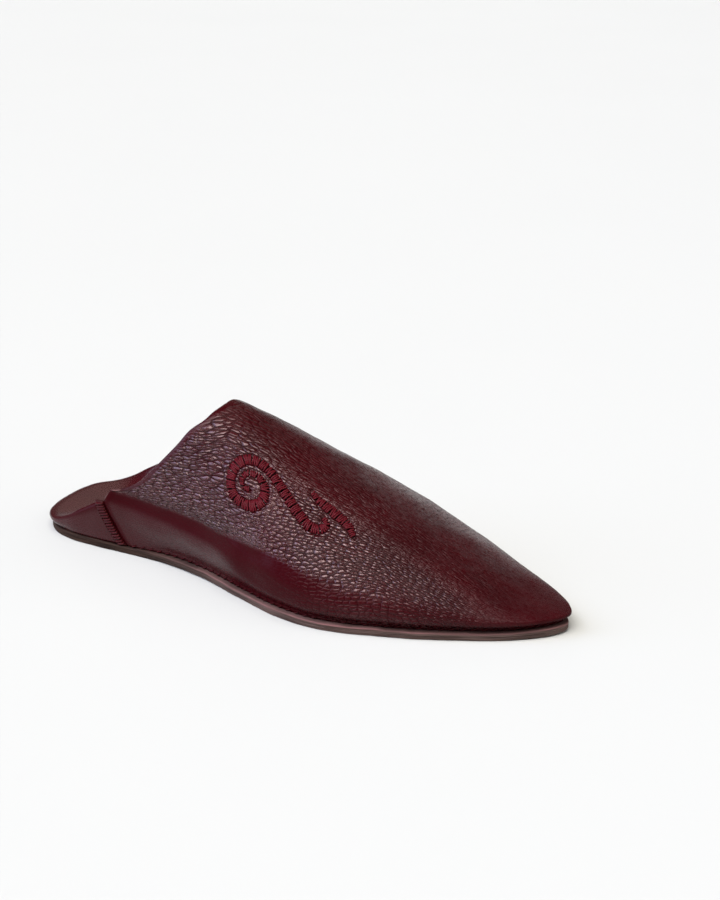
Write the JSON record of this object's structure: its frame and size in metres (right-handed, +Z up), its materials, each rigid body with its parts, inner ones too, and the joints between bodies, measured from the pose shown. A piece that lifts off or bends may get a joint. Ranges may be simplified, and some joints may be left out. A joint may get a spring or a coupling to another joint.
{
  "type": "slipper",
  "caption": "Pointed leather slip-on slipper with its back folded flat under the heel, hollow upper on a thin flat sole.",
  "frame": {"origin": "on the floor, under the middle of the slipper's bounding box", "axes": "+X to the toe, +Y to the left, +Z up"},
  "size_m": [0.2768, 0.1066, 0.077],
  "materials": {
    "sole_leather": "bare cut edge, matt",
    "insole_leather": "smooth, matt",
    "upper_leather": "pebbled grain, semi-gloss",
    "seam_thread": "twisted thread, satin"
  },
  "bodies": {
    "root": {"outsole": "sole_leather", "insole": "insole_leather", "vamp": "upper_leather", "heel_quarter": "upper_leather", "side_seam_left": "seam_thread", "side_seam_right": "seam_thread"}
  },
  "joints": []
}
